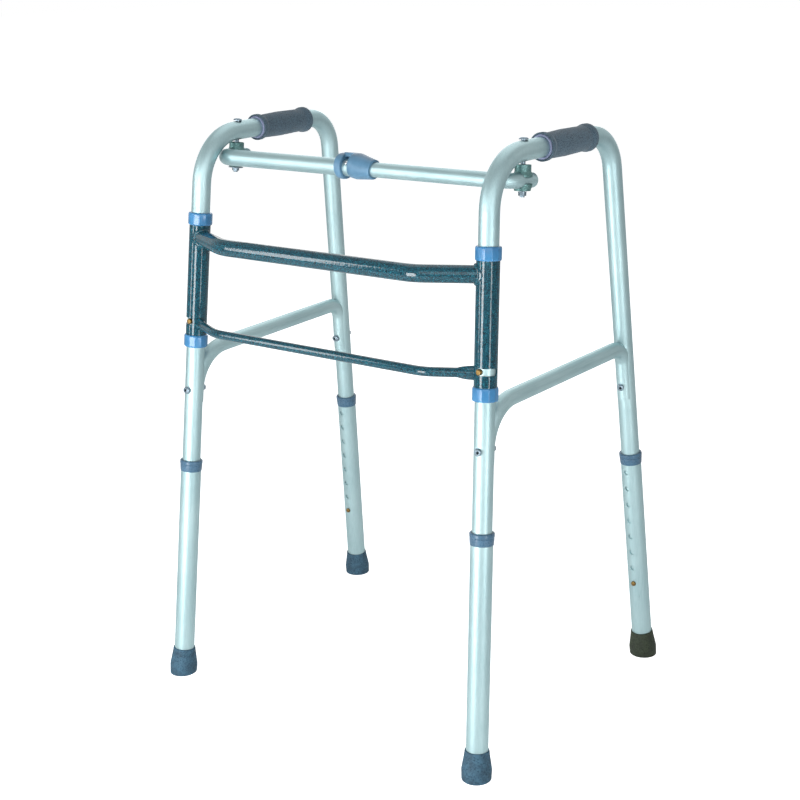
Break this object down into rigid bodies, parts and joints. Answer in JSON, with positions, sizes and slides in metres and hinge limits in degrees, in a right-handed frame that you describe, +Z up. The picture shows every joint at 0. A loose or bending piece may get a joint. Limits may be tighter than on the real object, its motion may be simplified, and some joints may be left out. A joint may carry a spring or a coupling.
{
  "type": "walking frame",
  "caption": "Folding aluminium walking frame with height-adjustable telescopic legs, hand grips, a bowed front crossbar pair and a telescopic top bar.",
  "frame": {"origin": "on the floor, at the bottom centre of the bounding box", "axes": "+Z up, -Y forward (the way the user walks), +X to the right as seen from the front"},
  "size_m": [0.5778, 0.4674, 0.7884],
  "materials": {
    "aluminium": "satin anodised",
    "blue_plastic": "gloss",
    "brass": "satin",
    "cap_plastic": "satin",
    "cast_aluminium": "satin",
    "collar_plastic": "gloss",
    "grip": "matt foam",
    "latch_plastic": "satin",
    "painted_steel": "hammertone paint",
    "rubber": "matt",
    "spring_steel": "bright",
    "zinc_steel": "zinc plated"
  },
  "bodies": {
    "crossbars": {"left_sleeve": "painted_steel", "right_sleeve": "painted_steel", "upper_crossbar": "painted_steel", "lower_crossbar": "painted_steel"},
    "left_frame": {"left_frame_tube": "aluminium", "left_brace": "aluminium", "left_brace_bolts": "zinc_steel", "left_brace_nuts": "zinc_steel", "left_grip": "grip", "left_lower_ring": "blue_plastic", "left_upper_ring": "blue_plastic", "left_stop_spring": "spring_steel", "left_pivot_bolt": "zinc_steel", "left_pivot_nut": "zinc_steel", "left_front_snap_spring": "spring_steel", "left_rear_snap_spring": "spring_steel"},
    "right_frame": {"right_frame_tube": "aluminium", "right_brace": "aluminium", "right_brace_bolts": "zinc_steel", "right_brace_nuts": "zinc_steel", "right_grip": "grip", "right_lower_ring": "blue_plastic", "right_upper_ring": "blue_plastic", "right_stop_spring": "spring_steel", "right_pivot_bolt": "zinc_steel", "right_pivot_nut": "zinc_steel", "right_front_snap_spring": "spring_steel", "right_rear_snap_spring": "spring_steel"},
    "inner_bar": {"inner_bar": "aluminium", "inner_bar_cap": "cap_plastic", "right_upper_saddle": "cast_aluminium", "right_lower_saddle": "cast_aluminium", "latch_pin_spring": "spring_steel"},
    "outer_bar": {"outer_bar": "aluminium", "outer_bar_cap": "cap_plastic", "left_upper_saddle": "cast_aluminium", "left_lower_saddle": "cast_aluminium", "latch_housing": "latch_plastic"},
    "latch_pin": {"latch_pin": "brass"},
    "left_front_leg": {"left_front_leg_tube": "aluminium", "left_front_foot": "rubber", "left_front_collar": "collar_plastic"},
    "left_front_snap": {"left_front_snap_button": "brass"},
    "left_rear_leg": {"left_rear_leg_tube": "aluminium", "left_rear_foot": "rubber", "left_rear_collar": "collar_plastic"},
    "left_rear_snap": {"left_rear_snap_button": "brass"},
    "left_stop": {"left_stop_button": "brass"},
    "right_front_leg": {"right_front_leg_tube": "aluminium", "right_front_foot": "rubber", "right_front_collar": "collar_plastic"},
    "right_front_snap": {"right_front_snap_button": "brass"},
    "right_rear_leg": {"right_rear_leg_tube": "aluminium", "right_rear_foot": "rubber", "right_rear_collar": "collar_plastic"},
    "right_rear_snap": {"right_rear_snap_button": "brass"},
    "right_stop": {"right_stop_button": "brass"}
  },
  "joints": [
    {"name": "right_fold", "type": "hinge", "parent": "crossbars", "child": "right_frame", "pos_m": [0.258, -0.214, 0], "axis": [-0.0355, 0.1038, 0.994], "range_deg": [0, 60]},
    {"name": "left_fold", "type": "hinge", "parent": "crossbars", "child": "left_frame", "pos_m": [-0.258, -0.214, 0], "axis": [-0.0355, -0.1038, -0.994], "range_deg": [0, 43.5]},
    {"name": "inner_bar_turn", "type": "hinge", "parent": "right_frame", "child": "inner_bar", "pos_m": [0.23355, -0.06831, 0.73546], "axis": [0.0355, -0.1038, -0.994], "range_deg": [0, 62.24]},
    {"name": "bar_telescope", "type": "slide", "parent": "inner_bar", "child": "outer_bar", "axis": [1, 0, 0], "range_m": [0, 0.11109], "deforming": ["latch_pin"]},
    {"name": "latch_press", "type": "slide", "parent": "inner_bar", "child": "latch_pin", "axis": [0, 0.7559, -0.6547], "range_m": [0, 0.004], "stiffness_N_per_m": 900, "springref_m": -0.001, "deforming": ["latch_pin_spring"]},
    {"name": "left_front_height", "type": "slide", "parent": "left_frame", "child": "left_front_leg", "axis": [-0.0355, -0.1038, -0.994], "range_m": [0, 0.175], "deforming": ["left_front_snap_button"]},
    {"name": "left_front_press", "type": "slide", "parent": "left_frame", "child": "left_front_snap", "axis": [0.03, -0.9943, 0.1027], "range_m": [0, 0.004], "stiffness_N_per_m": 900, "springref_m": -0.001, "deforming": ["left_front_snap_spring"]},
    {"name": "left_rear_height", "type": "slide", "parent": "left_frame", "child": "left_rear_leg", "axis": [-0.0407, 0.0965, -0.9945], "range_m": [0, 0.175], "deforming": ["left_rear_snap_button"]},
    {"name": "left_rear_press", "type": "slide", "parent": "left_frame", "child": "left_rear_snap", "axis": [-0.0223, 0.995, 0.0975], "range_m": [0, 0.004], "stiffness_N_per_m": 900, "springref_m": -0.001, "deforming": ["left_rear_snap_spring"]},
    {"name": "left_stop_press", "type": "slide", "parent": "left_frame", "child": "left_stop", "axis": [-0.03, 0.9943, -0.1027], "range_m": [0, 0.004], "stiffness_N_per_m": 900, "springref_m": -0.001, "deforming": ["left_stop_spring"]},
    {"name": "right_front_height", "type": "slide", "parent": "right_frame", "child": "right_front_leg", "axis": [0.0355, -0.1038, -0.994], "range_m": [0, 0.175], "deforming": ["right_front_snap_button"]},
    {"name": "right_front_press", "type": "slide", "parent": "right_frame", "child": "right_front_snap", "axis": [-0.03, -0.9943, 0.1027], "range_m": [0, 0.004], "stiffness_N_per_m": 900, "springref_m": -0.001, "deforming": ["right_front_snap_spring"]},
    {"name": "right_rear_height", "type": "slide", "parent": "right_frame", "child": "right_rear_leg", "axis": [0.0407, 0.0965, -0.9945], "range_m": [0, 0.175], "deforming": ["right_rear_snap_button"]},
    {"name": "right_rear_press", "type": "slide", "parent": "right_frame", "child": "right_rear_snap", "axis": [0.0223, 0.995, 0.0975], "range_m": [0, 0.004], "stiffness_N_per_m": 900, "springref_m": -0.001, "deforming": ["right_rear_snap_spring"]},
    {"name": "right_stop_press", "type": "slide", "parent": "right_frame", "child": "right_stop", "axis": [0.03, 0.9943, -0.1027], "range_m": [0, 0.004], "stiffness_N_per_m": 900, "springref_m": -0.001, "deforming": ["right_stop_spring"]}
  ],
  "couplings": [
    {"joint": "left_fold", "follows": "right_fold", "ratio": 0.72},
    {"joint": "inner_bar_turn", "follows": "right_fold", "ratio": 1.0324},
    {"joint": "bar_telescope", "follows": "right_fold", "m_per_rad": 0.1058}
  ]
}
